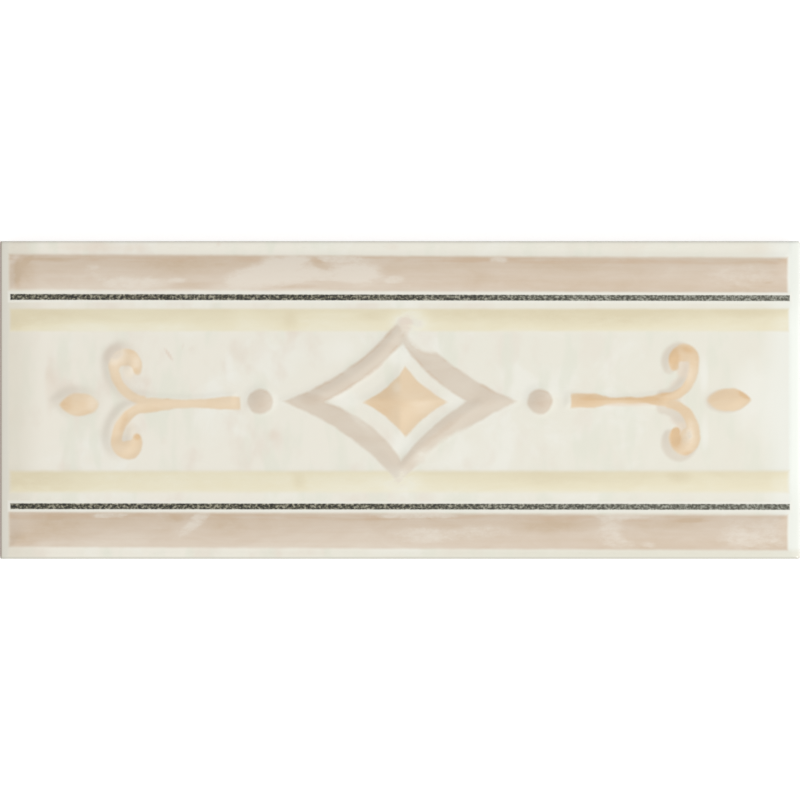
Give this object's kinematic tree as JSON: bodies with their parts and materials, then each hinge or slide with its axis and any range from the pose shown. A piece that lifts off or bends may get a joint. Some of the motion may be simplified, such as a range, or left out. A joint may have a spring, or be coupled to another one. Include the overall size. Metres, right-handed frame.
{
  "type": "border tile",
  "caption": "Long narrow glazed ceramic wall border tile with raised bands along its long edges and a raised diamond between scroll ornaments.",
  "frame": {"origin": "centre of the back, in the plane of the ribs that the adhesive holds", "axes": "+X along the tile, +Y across it, +Z out of the glazed face"},
  "size_m": [0.2, 0.0794, 0.009],
  "materials": {
    "glazed_ceramic": "gloss glaze over a pressed relief, cream with painted taupe, straw and tan ornaments; the back is unglazed"
  },
  "bodies": {
    "root": {"border_tile": "glazed_ceramic"}
  },
  "joints": []
}
